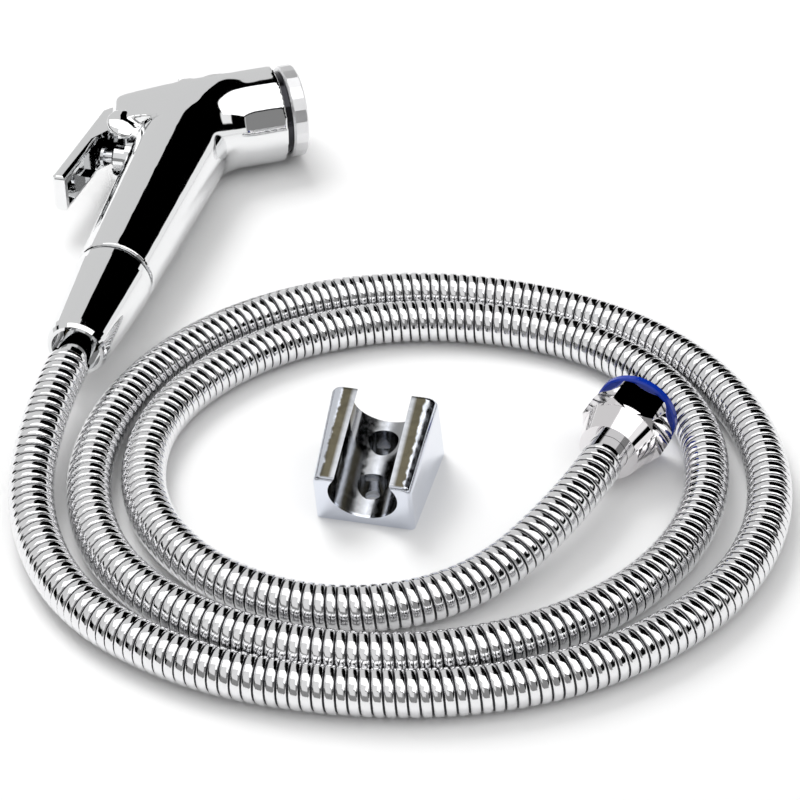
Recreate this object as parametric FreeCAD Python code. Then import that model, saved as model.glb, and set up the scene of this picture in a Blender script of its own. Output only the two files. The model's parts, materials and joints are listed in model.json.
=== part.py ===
import FreeCAD, Part

import math
import os

# Handheld bath sprayer with its hose and wall bracket, laid on a flat surface.
# World frame: millimetres, +Z up, z = 0 is the surface. The sprayer lies on its side,
# so its plane of symmetry is level, and its handle runs along Y.
# The sprayer is drawn in its own frame, whose origin is where the barrel's axis
# crosses the handle's axis, and is then moved to HEAD_AT.

V = FreeCAD.Vector
X_AXIS = V(1, 0, 0)
Y_AXIS = V(0, 1, 0)
Z_AXIS = V(0, 0, 1)
ORIGIN = V(0, 0, 0)

# --- Driving dimensions, mm ---

# Where the sprayer lies. Its barrel rests on the surface.
HEAD_AT = V(-43.0, 78.0, 18.0)

# Barrel and handle
BARREL_R = 18.0
BARREL_ANGLE = 30.0          # of the barrel's axis from +X, about Z
BARREL_END = 31.0            # along the barrel's axis, from the crossing
BARREL_BORE_R = 14.5
BARREL_BORE_START = 20.0
WATERWAY_R = 11.0
WATERWAY_START = -6.0
REAR_LOW_X = -25.2           # flat rear face of the hood, at its underside
REAR_X = -31.0               # the same face at the ridge, where it leans out
RIDGE_Y = 2.9
HANDLE_TOP_R = 17.0
HANDLE_TOP_Y = 5.0
HANDLE_WIDEST_Y = -22.0
HANDLE_END_R = 13.5
HANDLE_END_Y = -99.0
HANDLE_BORE_R = 7.5
HANDLE_BORE_TOP = -38.0
THROAT_FILLET = 7.0

# Thread on the handle's end (G 1/2, plain cylinders at its major diameter)
SPIGOT_R = 10.45
SPIGOT_END_Y = -114.0
NUT_BORE_R = 10.5

# Hood, lugs and lever
PIVOT = V(-21.0, -15.0, 0)
PIN_R = 2.0
PIN_HOLE_R = 2.05
PIN_FROM = -12.4
PIN_TO = 11.2
PIN_HOLE_TOP = 11.4          # blind, so the hood's upper cheek stays whole
SLOT_HALF = 8.0
SLOT_TOP_Y = -1.4
SLOT_END_X = -14.6
HOOD_UNDERSIDE_Y = -19.0
HOOD_LEAN = 12.5             # of its cheeks, from level
LUG_AT = V(-20.2, -20.6, 0)  # two domed lugs at the hood's lower edge
LUG_R = 6.0
LUG_HALF = 10.2              # where the lug joins the hood
LUG_DOME_R = 12.0
LUG_TOP = 13.8
LUG_DOME_AT = V(-3.0, 2.5, 0)  # middle of the dome, from the lug's own axis
LEVER_HALF = 7.2
LEVER_WALL = 2.0
LEVER_HUB_R = 4.0
LEVER_ROUND = 1.6            # along the edges that are left of LEVER_ROUNDED_X
LEVER_ROUNDED_X = -27.0
LEVER_TIP_Y = -54.0
LEVER_OUTER_TIP_X = -37.0
LEVER_OUTER_TOP_X = -33.0
LEVER_TOP_Y = -3.6

# Valve, on an axis along X
VALVE_Y = -26.5
VALVE_BORE_R = 7.0
BONNET_HEAD_X = -22.5
BONNET_SEAT_X = -17.4
BONNET_END_X = -9.0
BONNET_HEAD_R = 4.7
BONNET_HEAD_ROUND = 0.6
SEAL_POCKET_R = 4.0
SEAL_POCKET_DEPTH = 2.0
SEAL_GAP = 0.1
STEM_R = 2.0
STEM_BORE_R = 2.05
STEM_TIP_X = -28.0
BUTTON_R = 3.4
BUTTON_BACK_X = -26.0
BUTTON_DOME = 0.9
STEM_COLLAR_R = 4.9
SEAT_X = 0.0
SEAT_THICK = 3.0
SEAT_BORE_R = 4.0
DISC_R = 5.5
DISC_THICK = 2.4
STEM_END_X = 6.6
CHAMBER_R = 6.4
CHAMBER_END_X = 13.2
INLET_X = 6.2
OUTLET_X = -4.6
OUTLET_END_Y = -2.0
PASSAGE_R = 3.6
SPRING_R = 4.0
SPRING_WIRE_R = 0.45
SPRING_TURNS = 3
SPRING_GAP = 0.05
PAD_GAP = 0.3
PAD_BACK_X = -34.6
PAD_HALF_Y = 4.5
PAD_HALF_Z = 3.4

# Nozzle, along the barrel's axis
NECK_R = 15.2
NECK_START = 31.2
CAP_START = 33.6
CAP_END = 39.4
CAP_R = 17.0
CAP_FACETS = 24
CAP_LIP_R = 13.6
CAP_LIP = 0.9
CAP_BORE_R = 15.3
PLATE_START = 37.0
NOZZLE_BORE_R = 11.5
JET_R = 0.6
JET_RINGS = (1, 2, 3)         # each with six jets times its number
JET_RING_STEP = 3.1
NOZZLE_SEAL_THICK = 2.0
NOZZLE_GAP = 0.1              # between the sleeve and the barrel's bore

# Cone nut and the hose's head end
CONE_TOP_Y = -100.2
CONE_COLLAR_Y = -104.0
CONE_LOW_Y = -137.5
CONE_LOW_R = 10.6
CONE_END_Y = -141.0
CONE_END_R = 9.3
CONE_RECESS_R = 8.2
CONE_RECESS_Y = -134.0
CONE_HOLE_R = 6.4
HOSE_START_Y = -149.5
WASHER_THICK = 2.0
FLANGE_R = 9.6
FLANGE_THICK = 2.5
NIPPLE_BORE_R = 3.0
NIPPLE_R = 4.2
NIPPLE_REACH = 11.0          # how far a nipple goes into the hose
SLEEVE_GAP = 0.05            # between a nipple and the sleeve over it
FERRULE_R = 5.3
FERRULE_TOP_Y = -124.0

# Hose
HOSE_R = 7.0
COVER_INNER_R = 5.6
LINER_R = 5.5
LINER_INNER_R = 4.3
ARC_SHARE = 0.45

# Tap end: hex nut and blue ring, along the hose's last direction
TAP_FERRULE_R = 6.3
TAP_FERRULE_END = 13.8
NUT_COLLAR_R = 9.8
NUT_COLLAR_TOP_R = 12.4
NUT_COLLAR_START = 6.0
NUT_HEX_START = 14.5
NUT_END = 27.0
NUT_FLATS = 24.0
NUT_CHAMFER = 1.6
NUT_SHOULDER = 14.0
NUT_RELIEF_R = 10.8           # round the flange and the washer
NUT_THREAD_START = 18.7
TAP_FLANGE_START = 14.1
TAP_GAP = 0.1                # between the pieces that the nut turns on
RING_R = 13.4
RING_THICK = 2.8
RING_EDGE = 0.5

# Wall bracket, lying on its back. Its bore leans away from the wall face.
BRACKET_TILT = 15.0          # of the bore and the top from the wall face
BRACKET_FRONT_HEIGHT = 21.0  # measured along the leaning front face
BRACKET_TOP_LENGTH = 35.8
BRACKET_BASE_LENGTH = 39.3
BRACKET_FRONT_WIDTH = 30.4
BRACKET_REAR_WIDTH = 34.6
BRACKET_ROUND = 3.6
BRACKET_FOOT_ROUND = 1.5
CLIP_R = 10.8
CLIP_DEPTH = 6.9             # of the bore's axis under the top
CLIP_SLOT = 17.0
SCREW_R = 2.3
SCREW_HEAD_R = 4.7
SCREW_FLOOR_Z = 2.6          # of the seat under each screw's head
SCREW_AT = (10.4, 26.8)      # along the wall face from its front edge

# Route of the hose's axis, world frame, chosen by hand.
ROUTE = [
    (-43.0, -71.5, 18.0),
    (-43.0, -94.0, 18.0),
    (-38.0, -131.0, 8.8),
    (-13.0, -167.0, 7.0),
    (27.0, -185.0, 7.0),
    (70.0, -187.0, 7.0),
    (113.0, -178.0, 7.0),
    (150.0, -156.0, 7.0),
    (177.0, -122.0, 7.0),
    (186.0, -80.0, 7.0),
    (174.0, -38.0, 7.0),
    (145.0, -6.0, 7.0),
    (105.0, 9.0, 7.0),
    (62.0, 10.0, 7.0),
    (22.0, -4.0, 7.0),
    (-10.0, -33.0, 7.0),
    (-27.0, -73.0, 7.0),
    (-25.0, -117.0, 7.0),
    (-2.0, -154.0, 7.0),
    (37.0, -171.0, 7.0),
    (80.0, -172.0, 7.0),
    (119.0, -157.0, 7.0),
    (151.0, -127.0, 7.0),
    (166.0, -87.0, 7.0),
    (159.0, -43.0, 7.0),
    (128.0, -12.0, 7.0),
    (86.0, -4.0, 7.0),
    (44.0, -12.0, 7.0),
    (8.0, -37.0, 7.0),
    (-13.0, -77.0, 7.0),
    (-6.0, -120.0, 7.0),
    (24.0, -149.0, 7.0),
    (66.0, -156.0, 7.0),
    (103.0, -138.0, 8.0),
    (125.0, -102.0, 14.2),
    (131.0, -80.0, 14.2),
]


# The sprayer and the bracket share one box centred on the origin, so the lever's
# outer edge and the cap's far edge set the bracket's right side and front edge.
CAP_EDGE = 0.8
BRACKET_RIGHT_X = -(HEAD_AT.x + LEVER_OUTER_TIP_X)
CAP_FAR_Y = ((CAP_END - CAP_EDGE) * math.sin(math.radians(BARREL_ANGLE))
             + CAP_R * math.cos(math.radians(BARREL_ANGLE)))
BRACKET_FRONT_Y = -(HEAD_AT.y + CAP_FAR_Y)


# --- Small helpers ---

def cyl(radius, start, end, axis=Z_AXIS):
    """Cylinder about an axis through the origin, from start to end along it."""
    return Part.makeCylinder(radius, end - start, axis * start, axis)


def cone(radius_start, radius_end, start, end, axis=Z_AXIS):
    """Cone about an axis through the origin, from start to end along it."""
    return Part.makeCone(radius_start, radius_end, end - start, axis * start, axis)


def box(x_from, x_to, y_from, y_to, z_from, z_to):
    """Box between two values on each axis."""
    return Part.makeBox(x_to - x_from, y_to - y_from, z_to - z_from, V(x_from, y_from, z_from))


def moved(shape, offset):
    """A copy of the shape, moved."""
    copy = shape.copy()
    copy.translate(offset)
    return copy


def turned(profile, axis=Z_AXIS):
    """Solid of revolution about an axis through the origin.
    The profile is a closed list of (distance along the axis, radius)."""
    corners = [V(radius, 0, along) for along, radius in profile]
    wire = Part.makePolygon(corners + [corners[0]])
    solid = Part.Face(wire).revolve(ORIGIN, Z_AXIS, 360)
    solid = Part.Solid(solid.Shells[0]) if solid.ShapeType != "Solid" else solid
    solid.Placement = FreeCAD.Placement(ORIGIN, FreeCAD.Rotation(Z_AXIS, axis))
    return solid


def prism(points, z_from, z_to):
    """Polygon in XY, pushed up from z_from to z_to."""
    corners = [V(x, y, z_from) for x, y in points]
    wire = Part.makePolygon(corners + [corners[0]])
    return Part.Face(wire).extrude(V(0, 0, z_to - z_from))


def on_barrel(along, across=0.0, up=0.0):
    """Point given along the barrel's axis, across it in the level plane, and up."""
    angle = math.radians(BARREL_ANGLE)
    x = along * math.cos(angle) - across * math.sin(angle)
    y = along * math.sin(angle) + across * math.cos(angle)
    return V(x, y, up)


BARREL_AXIS = on_barrel(1.0)


# --- Sprayer pieces, in the sprayer's own frame ---

def hood():
    """Rear of the head, over the lever's hinge: two leaning cheeks tangent to the handle,
    rounded over along the barrel's back."""
    lean = math.radians(HOOD_LEAN)
    tangent_x = -HANDLE_TOP_R * math.sin(lean)
    tangent_z = HANDLE_TOP_R * math.cos(lean)
    rear_z = (HANDLE_TOP_R + REAR_X * math.sin(lean)) / math.cos(lean)
    section = [(REAR_X, -rear_z), (tangent_x, -tangent_z), (tangent_x, tangent_z), (REAR_X, rear_z)]
    corners = [V(x, HOOD_UNDERSIDE_Y, z) for x, z in section]
    wire = Part.makePolygon(corners + [corners[0]])
    wedge = Part.Face(wire).extrude(V(0, 2 * BARREL_R - HOOD_UNDERSIDE_Y, 0))
    front = [on_barrel(-45), on_barrel(45), on_barrel(45, -60), on_barrel(-45, -60)]
    roll = prism([(corner.x, corner.y) for corner in front], -BARREL_R, BARREL_R)
    wedge = wedge.common(roll.fuse(cyl(BARREL_R, -45, 45, BARREL_AXIS)))
    run = (REAR_X - REAR_LOW_X) / (RIDGE_Y - HOOD_UNDERSIDE_Y)
    behind = [
        (REAR_LOW_X - run * 10, HOOD_UNDERSIDE_Y - 10),
        (REAR_X + run * 40, RIDGE_Y + 40),
        (-80, RIDGE_Y + 40),
        (-80, HOOD_UNDERSIDE_Y - 10),
    ]
    return wedge.cut(prism(behind, -BARREL_R - 1, BARREL_R + 1))


def lug():
    """Pair of domed lugs, one each side of the lever, with their roots in the hood."""
    middle = LUG_DOME_AT + V(0, 0, LUG_TOP - LUG_DOME_R)
    dome = cyl(LUG_R, 0, LUG_TOP).common(moved(Part.makeSphere(LUG_DOME_R), middle))
    both = dome.fuse(dome.mirror(ORIGIN, Z_AXIS))
    both = both.fuse(box(-LUG_R, LUG_R, 0, LUG_R, -LUG_HALF, LUG_HALF))
    return moved(both, LUG_AT)


def spray_body():
    """Handle, barrel, hood and lugs in one casting, with its water passages."""
    handle = cone(HANDLE_END_R, HANDLE_TOP_R, HANDLE_END_Y, HANDLE_WIDEST_Y, Y_AXIS)
    handle = handle.fuse(cyl(HANDLE_TOP_R, HANDLE_WIDEST_Y, HANDLE_TOP_Y, Y_AXIS))
    barrel = cyl(BARREL_R, 0, BARREL_END, BARREL_AXIS).fuse(Part.makeSphere(BARREL_R))
    body = barrel.fuse(handle).removeSplitter()
    body = throat_rounded(body)
    body = body.fuse(hood())
    body = body.fuse(lug())
    spigot = cyl(SPIGOT_R, SPIGOT_END_Y, HANDLE_END_Y + 1, Y_AXIS)
    body = body.fuse(spigot).removeSplitter()
    slot = box(-60, SLOT_END_X, LUG_AT.y - 2 * LUG_R, SLOT_TOP_Y, -SLOT_HALF, SLOT_HALF)
    slot = slot.cut(handle)
    cuts = [slot, moved(cyl(PIN_R, -40, PIN_HOLE_TOP), PIVOT)]
    cuts.append(cyl(HANDLE_BORE_R, SPIGOT_END_Y - 1, HANDLE_BORE_TOP, Y_AXIS))
    cuts.append(cyl(WATERWAY_R, WATERWAY_START, BARREL_BORE_START, BARREL_AXIS))
    cuts.append(cyl(BARREL_BORE_R, BARREL_BORE_START, BARREL_END + 1, BARREL_AXIS))
    valve_base = V(0, VALVE_Y, 0)
    cuts.append(moved(cyl(VALVE_BORE_R, -30, SEAT_X, X_AXIS), valve_base))
    cuts.append(moved(cyl(CHAMBER_R, SEAT_X, CHAMBER_END_X, X_AXIS), valve_base))
    inlet = cyl(PASSAGE_R, HANDLE_BORE_TOP - 4, VALVE_Y, Y_AXIS)
    cuts.append(moved(inlet, V(INLET_X, 0, 0)))
    outlet = cyl(PASSAGE_R, VALVE_Y, OUTLET_END_Y, Y_AXIS)
    cuts.append(moved(outlet, V(OUTLET_X, 0, 0)))
    for cut in cuts:
        body = body.cut(cut)
    return body


def throat_rounded(body):
    """Round the inner corner where the barrel's underside meets the handle."""
    for radius in (THROAT_FILLET, THROAT_FILLET * 0.7, THROAT_FILLET * 0.4):
        edges = [edge for edge in body.Edges if is_throat(edge)]
        try:
            rounded = body.makeFillet(radius, edges)
        except Exception:
            continue
        if rounded.isValid() and rounded.Volume > body.Volume:
            return rounded
    return body


def is_throat(edge):
    """True for an edge between the barrel and the handle on the nozzle's side."""
    middle = edge.valueAt((edge.FirstParameter + edge.LastParameter) / 2)
    return middle.x > 2 and middle.y < 0 and middle.y > -40


def lever():
    """Channel-shaped lever with its L-arm, hub, pad and closed tip."""
    outline = [
        (PIVOT.x + 1.0, PIVOT.y + LEVER_HUB_R - 0.2),
        (-27.2, LEVER_TOP_Y),
        (LEVER_OUTER_TOP_X + 2.6, LEVER_TOP_Y),
        (LEVER_OUTER_TOP_X, LEVER_TOP_Y - 3.0),
        (LEVER_OUTER_TIP_X, LEVER_TIP_Y + 1.4),
        (LEVER_OUTER_TIP_X + 1.2, LEVER_TIP_Y),
        (-32.0, LEVER_TIP_Y),
        (-28.9, -24.0),
        (-25.6, -18.6),
        (PIVOT.x - 1.0, PIVOT.y - LEVER_HUB_R + 0.1),
    ]
    solid = prism(outline, -LEVER_HALF, LEVER_HALF)
    edges = [edge for edge in solid.Edges
             if abs(edge.BoundBox.ZLength) < 0.01 and edge.BoundBox.XMax < LEVER_ROUNDED_X]
    solid = solid.makeFillet(LEVER_ROUND, edges)
    solid = solid.fuse(moved(cyl(LEVER_HUB_R, -LEVER_HALF, LEVER_HALF), PIVOT))
    inner_half = LEVER_HALF - LEVER_WALL
    channel = [
        (0, LEVER_TOP_Y - LEVER_WALL),
        (LEVER_OUTER_TOP_X + LEVER_WALL + 0.6, LEVER_TOP_Y - LEVER_WALL),
        (LEVER_OUTER_TIP_X + LEVER_WALL, LEVER_TIP_Y + LEVER_WALL),
        (0, LEVER_TIP_Y + LEVER_WALL),
    ]
    solid = solid.cut(prism(channel, -inner_half, inner_half))
    pad = box(PAD_BACK_X, STEM_TIP_X - PAD_GAP, VALVE_Y - PAD_HALF_Y, VALVE_Y + PAD_HALF_Y,
              -PAD_HALF_Z, PAD_HALF_Z)
    solid = solid.fuse(pad)
    solid = solid.cut(moved(cyl(PIN_HOLE_R, -40, 40), PIVOT))
    return solid.removeSplitter()


def lever_pin():
    """Pin pressed into the hood's cheeks from below."""
    pin = moved(cyl(PIN_R, PIN_FROM, PIN_TO), PIVOT)
    return pin.makeChamfer(0.3, [edge for edge in pin.Edges if edge.Closed])


def valve_bonnet():
    """Threaded bush that holds the stem, with the seal's pocket at its inner end."""
    profile = [
        (BONNET_HEAD_X, STEM_BORE_R),
        (BONNET_HEAD_X, BONNET_HEAD_R - BONNET_HEAD_ROUND),
        (BONNET_HEAD_X + BONNET_HEAD_ROUND, BONNET_HEAD_R),
        (BONNET_SEAT_X, BONNET_HEAD_R),
        (BONNET_SEAT_X, VALVE_BORE_R),
        (BONNET_END_X, VALVE_BORE_R),
        (BONNET_END_X, SEAL_POCKET_R),
        (BONNET_END_X - SEAL_POCKET_DEPTH, SEAL_POCKET_R),
        (BONNET_END_X - SEAL_POCKET_DEPTH, STEM_BORE_R),
    ]
    return moved(turned(profile, X_AXIS), V(0, VALVE_Y, 0))


def valve_stem():
    """Stem with its domed button, a collar for the disc and a tail for the spring."""
    dome_edge = STEM_TIP_X + BUTTON_DOME
    collar = SEAT_X + SEAT_THICK + DISC_THICK
    profile = [
        (STEM_TIP_X, 0),
        (STEM_TIP_X + 0.3 * BUTTON_DOME, BUTTON_R * 0.55),
        (dome_edge, BUTTON_R),
        (BUTTON_BACK_X, BUTTON_R),
        (BUTTON_BACK_X, STEM_R),
        (collar, STEM_R),
        (collar, STEM_COLLAR_R),
        (STEM_END_X, STEM_COLLAR_R),
        (STEM_END_X, 0),
    ]
    return moved(turned(profile, X_AXIS), V(0, VALVE_Y, 0))


def valve_disc():
    """Rubber disc that closes on the seat."""
    start = SEAT_X + SEAT_THICK
    disc = cyl(DISC_R, start, start + DISC_THICK, X_AXIS).cut(cyl(STEM_BORE_R, -50, 50, X_AXIS))
    return moved(disc, V(0, VALVE_Y, 0))


def valve_seat():
    """Brass ring pressed into the valve's bore."""
    end = SEAT_X + SEAT_THICK
    ring = cyl(CHAMBER_R, SEAT_X, end, X_AXIS)
    ring = ring.cut(cyl(SEAT_BORE_R, -50, 50, X_AXIS))
    return moved(ring, V(0, VALVE_Y, 0))


def stem_seal():
    """O-ring in the bonnet's pocket, drawn as a square ring."""
    ring = cyl(SEAL_POCKET_R - SEAL_GAP, BONNET_END_X - SEAL_POCKET_DEPTH + SEAL_GAP,
               BONNET_END_X - SEAL_GAP, X_AXIS)
    ring = ring.cut(cyl(STEM_BORE_R, -50, 50, X_AXIS))
    return moved(ring, V(0, VALVE_Y, 0))


def valve_spring():
    """Coil spring between the stem's tail and the end of the chamber,
    made of one arc for each quarter turn."""
    start = STEM_END_X + SPRING_WIRE_R + SPRING_GAP
    end = CHAMBER_END_X - SPRING_WIRE_R - SPRING_GAP
    arcs = 4 * SPRING_TURNS

    def on_helix(quarter):
        angle = quarter * math.pi / 2
        rise = start + (end - start) * quarter / arcs
        return V(rise, VALVE_Y + SPRING_R * math.cos(angle), SPRING_R * math.sin(angle))

    edges = [Part.Arc(on_helix(i), on_helix(i + 0.5), on_helix(i + 1)).toShape() for i in range(arcs)]
    wire = Part.Wire(edges)
    first = wire.Edges[0]
    section = Part.makeCircle(SPRING_WIRE_R, on_helix(0), first.tangentAt(first.FirstParameter))
    pipe = wire.makePipeShell([Part.Wire(section)], True, False)
    return pipe if pipe.ShapeType == "Solid" else Part.Solid(pipe)


def nozzle_body():
    """Screwed-in sleeve that carries the plate and the cap. Its neck shows in the gap."""
    sleeve_start = BARREL_BORE_START + NOZZLE_SEAL_THICK
    profile = [
        (sleeve_start, NOZZLE_BORE_R),
        (sleeve_start, BARREL_BORE_R - NOZZLE_GAP),
        (NECK_START, BARREL_BORE_R - NOZZLE_GAP),
        (NECK_START, NECK_R),
        (PLATE_START, NECK_R),
        (PLATE_START, NOZZLE_BORE_R),
    ]
    return turned(profile, BARREL_AXIS)


def nozzle_seal():
    """O-ring between the sleeve and the barrel's shoulder, drawn as a square ring."""
    end = BARREL_BORE_START + NOZZLE_SEAL_THICK
    ring = cyl(BARREL_BORE_R - NOZZLE_GAP, BARREL_BORE_START, end, BARREL_AXIS)
    return ring.cut(cyl(NOZZLE_BORE_R, 0, 60, BARREL_AXIS))


def spray_plate():
    """Face plate with rings of jet holes."""
    end = CAP_END - CAP_LIP
    plate = cyl(NECK_R, PLATE_START, end, BARREL_AXIS)
    holes = [cyl(JET_R, PLATE_START - 1, end + 1, BARREL_AXIS)]
    for ring in JET_RINGS:
        for step in range(6 * ring):
            angle = 2 * math.pi * step / (6 * ring)
            reach = JET_RING_STEP * ring
            offset = on_barrel(0, reach * math.cos(angle), reach * math.sin(angle))
            holes.append(moved(holes[0], offset))
    return plate.cut(Part.makeCompound(holes))


def nozzle_cap():
    """Ring that holds the plate, with shallow grip flats round its edge."""
    profile = [
        (CAP_START, CAP_BORE_R),
        (CAP_START, CAP_R - CAP_EDGE),
        (CAP_START + CAP_EDGE, CAP_R),
        (CAP_END - CAP_EDGE, CAP_R),
        (CAP_END, CAP_R - CAP_EDGE),
        (CAP_END, CAP_LIP_R),
        (CAP_END - CAP_LIP, CAP_LIP_R),
        (CAP_END - CAP_LIP, CAP_BORE_R),
    ]
    cap = turned(profile, BARREL_AXIS)
    corners = []
    for step in range(CAP_FACETS + 1):
        angle = 2 * math.pi * step / CAP_FACETS
        corners.append(on_barrel(CAP_START - 1, CAP_R * math.cos(angle), CAP_R * math.sin(angle)))
    facets = Part.Face(Part.makePolygon(corners)).extrude(BARREL_AXIS * (CAP_END - CAP_START + 2))
    return cap.common(facets)


def cone_nut():
    """Long conical hose nut with an internal thread and a recessed lower end."""
    shoulder = SPIGOT_END_Y - WASHER_THICK - FLANGE_THICK
    profile = [
        (CONE_TOP_Y, NUT_BORE_R),
        (CONE_TOP_Y, HANDLE_END_R - 0.5),
        (CONE_TOP_Y - 0.5, HANDLE_END_R - 0.1),
        (CONE_COLLAR_Y, HANDLE_END_R - 0.1),
        (CONE_LOW_Y, CONE_LOW_R),
        (CONE_LOW_Y - 2.2, CONE_LOW_R - 0.5),
        (CONE_END_Y, CONE_END_R),
        (CONE_END_Y, CONE_RECESS_R),
        (CONE_RECESS_Y, CONE_RECESS_R),
        (CONE_RECESS_Y, CONE_HOLE_R),
        (shoulder, CONE_HOLE_R),
        (shoulder, NUT_BORE_R),
    ]
    return turned(profile, Y_AXIS)


def inlet_washer():
    """Flat rubber washer between the handle's end and the nipple's flange."""
    start = SPIGOT_END_Y - WASHER_THICK
    ring = cyl(FLANGE_R, start, SPIGOT_END_Y, Y_AXIS)
    return ring.cut(cyl(NIPPLE_R, -200, 0, Y_AXIS))


def head_nipple():
    """Flanged hose tail in the cone nut."""
    top = SPIGOT_END_Y - WASHER_THICK
    tail_end = HOSE_START_Y - NIPPLE_REACH
    profile = [
        (top, NIPPLE_BORE_R),
        (top, FLANGE_R),
        (top - FLANGE_THICK, FLANGE_R),
        (top - FLANGE_THICK, NIPPLE_R),
        (tail_end, NIPPLE_R),
        (tail_end, NIPPLE_BORE_R),
    ]
    return turned(profile, Y_AXIS)


def head_ferrule():
    """Sleeve over the nipple, from inside the cone nut to the hose's end."""
    sleeve = cyl(FERRULE_R, HOSE_START_Y, FERRULE_TOP_Y, Y_AXIS)
    return sleeve.cut(cyl(NIPPLE_R + SLEEVE_GAP, -200, 0, Y_AXIS))


# --- Hose ---

def route_wire(points):
    """Straight runs joined by tangent arcs, and the arcs' radii."""
    corners = [V(*point) for point in points]
    edges = []
    radii = []
    last = corners[0]
    for before, corner, after in zip(corners, corners[1:], corners[2:]):
        run_in = (corner - before)
        run_out = (after - corner)
        shorter = min(run_in.Length, run_out.Length)
        turn = run_in.getAngle(run_out)
        reach = ARC_SHARE * shorter
        radii.append(reach / math.tan(turn / 2))
        run_in.normalize()
        run_out.normalize()
        start = corner - run_in * reach
        end = corner + run_out * reach
        bisector = run_out - run_in
        bisector.normalize()
        to_centre = radii[-1] / math.cos(turn / 2)
        middle = corner + bisector * (to_centre - radii[-1])
        edges.append(Part.LineSegment(last, start).toShape())
        edges.append(Part.Arc(start, middle, end).toShape())
        last = end
    edges.append(Part.LineSegment(last, corners[-1]).toShape())
    return Part.Wire(edges), radii


def swept_tube(wire, outer, inner):
    """Tube along the wire."""
    start = wire.Vertexes[0].Point
    direction = V(*ROUTE[1]) - V(*ROUTE[0])
    solids = []
    for radius in (outer, inner):
        section = Part.Wire(Part.makeCircle(radius, start, direction))
        pipe = wire.makePipeShell([section], True, False)
        solids.append(pipe if pipe.ShapeType == "Solid" else Part.Solid(pipe))
    return solids[0].cut(solids[1])


# --- Tap end of the hose, drawn along +Z from the hose's end ---

def at_tap_end(shape):
    """Move a shape drawn along +Z from the origin onto the hose's end."""
    end = V(*ROUTE[-1])
    direction = end - V(*ROUTE[-2])
    direction.z = 0
    placed = shape.copy()
    placed.Placement = FreeCAD.Placement(end, FreeCAD.Rotation(Z_AXIS, direction)).multiply(placed.Placement)
    return placed


def tap_ferrule():
    """Sleeve between the hose and the hex nut."""
    profile = [
        (TAP_GAP, NIPPLE_R + SLEEVE_GAP),
        (TAP_GAP, TAP_FERRULE_R),
        (TAP_FERRULE_END, TAP_FERRULE_R),
        (TAP_FERRULE_END, NIPPLE_R + SLEEVE_GAP),
    ]
    return turned(profile)


def tap_nipple():
    """Flanged hose tail held by the hex nut."""
    profile = [
        (-NIPPLE_REACH, NIPPLE_BORE_R),
        (-NIPPLE_REACH, NIPPLE_R),
        (TAP_FLANGE_START, NIPPLE_R),
        (TAP_FLANGE_START, FLANGE_R),
        (TAP_FLANGE_START + FLANGE_THICK, FLANGE_R),
        (TAP_FLANGE_START + FLANGE_THICK, NIPPLE_BORE_R),
    ]
    return turned(profile)


def tap_washer():
    """Flat rubber washer that sits in the hex nut against the flange."""
    start = TAP_FLANGE_START + FLANGE_THICK + TAP_GAP
    return cyl(FLANGE_R, start, start + WASHER_THICK).cut(cyl(NIPPLE_R, -50, 50))


def hex_nut():
    """Union nut: tapered collar, chamfered hexagon, and a thread bored from its mouth."""
    corner_r = NUT_FLATS / math.sqrt(3)
    corners = [(corner_r * math.cos(math.radians(60 * step)),
                corner_r * math.sin(math.radians(60 * step))) for step in range(6)]
    hexagon = prism(corners, NUT_HEX_START, NUT_END)
    chamfer = [
        (NUT_HEX_START, 0),
        (NUT_HEX_START, corner_r - NUT_CHAMFER),
        (NUT_HEX_START + NUT_CHAMFER, corner_r + 0.1),
        (NUT_END - NUT_CHAMFER, corner_r + 0.1),
        (NUT_END, corner_r - NUT_CHAMFER),
        (NUT_END, 0),
    ]
    hexagon = hexagon.common(turned(chamfer))
    nut = hexagon.fuse(cone(NUT_COLLAR_R, NUT_COLLAR_TOP_R, NUT_COLLAR_START, NUT_HEX_START + 1, Z_AXIS))
    nut = nut.cut(cyl(TAP_FERRULE_R + TAP_GAP, -10, NUT_SHOULDER))
    nut = nut.cut(cyl(NUT_RELIEF_R, NUT_SHOULDER, NUT_THREAD_START))
    nut = nut.cut(cyl(NUT_BORE_R, NUT_THREAD_START, NUT_END + 10))
    return nut.removeSplitter()


def blue_ring():
    """Blue ring round the nut's mouth."""
    profile = [
        (NUT_END, NUT_BORE_R + TAP_GAP),
        (NUT_END, RING_R - RING_EDGE),
        (NUT_END + RING_EDGE, RING_R),
        (NUT_END + RING_THICK - RING_EDGE, RING_R),
        (NUT_END + RING_THICK, RING_R - RING_EDGE),
        (NUT_END + RING_THICK, NUT_BORE_R + TAP_GAP),
    ]
    return turned(profile)


# --- Wall bracket ---

def bracket_profile():
    """Side outline of the bracket as (y, z) corners, from its front foot."""
    tilt = math.radians(BRACKET_TILT)
    front_top = (-BRACKET_FRONT_HEIGHT * math.sin(tilt), BRACKET_FRONT_HEIGHT * math.cos(tilt))
    rear_top = (front_top[0] + BRACKET_TOP_LENGTH * math.cos(tilt),
                front_top[1] + BRACKET_TOP_LENGTH * math.sin(tilt))
    return [(0, 0), (BRACKET_BASE_LENGTH, 0), rear_top, front_top]


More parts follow.
